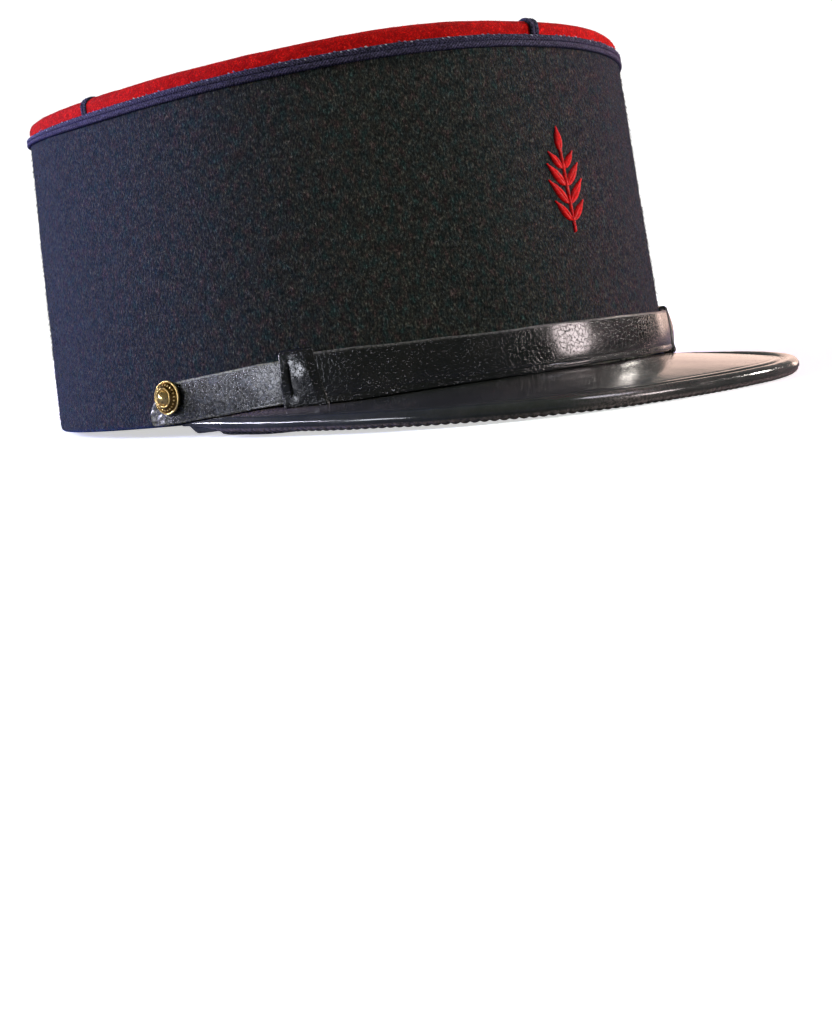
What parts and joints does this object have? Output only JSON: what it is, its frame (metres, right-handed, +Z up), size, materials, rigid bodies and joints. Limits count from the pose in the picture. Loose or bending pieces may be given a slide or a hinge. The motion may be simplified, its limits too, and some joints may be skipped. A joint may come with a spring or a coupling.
{
  "type": "kepi cap",
  "caption": "Dark wool kepi with a sunken red top, navy braid, leather peak, buttoned leather chin strap and a red sprig emblem.",
  "frame": {"origin": "middle of the cap's box in plan, on the surface that the cap rests on", "axes": "+Z up, -Y towards the front of the peak, +X towards the wearer's left"},
  "size_m": [0.1714, 0.2456, 0.1001],
  "materials": {
    "dark_wool": "matte fulled wool cloth",
    "red_cloth": "matte fulled wool cloth",
    "navy_braid": "woven, two ridges",
    "black_leather": "glossy, finely cracked",
    "gilt_brass": "polished, a little worn",
    "red_thread": "satin stitch"
  },
  "bodies": {
    "root": {"crown_wall": "dark_wool", "crown_top": "red_cloth", "top_braid": "navy_braid", "rim_cord_front": "navy_braid", "rim_cord_right": "navy_braid", "rim_cord_back": "navy_braid", "rim_cord_left": "navy_braid", "peak": "black_leather", "peak_binding": "black_leather", "chin_strap_right": "black_leather", "chin_strap_left": "black_leather", "strap_loop_right": "black_leather", "strap_loop_left": "black_leather", "button_right": "gilt_brass", "button_left": "gilt_brass", "front_emblem": "red_thread"}
  },
  "joints": []
}
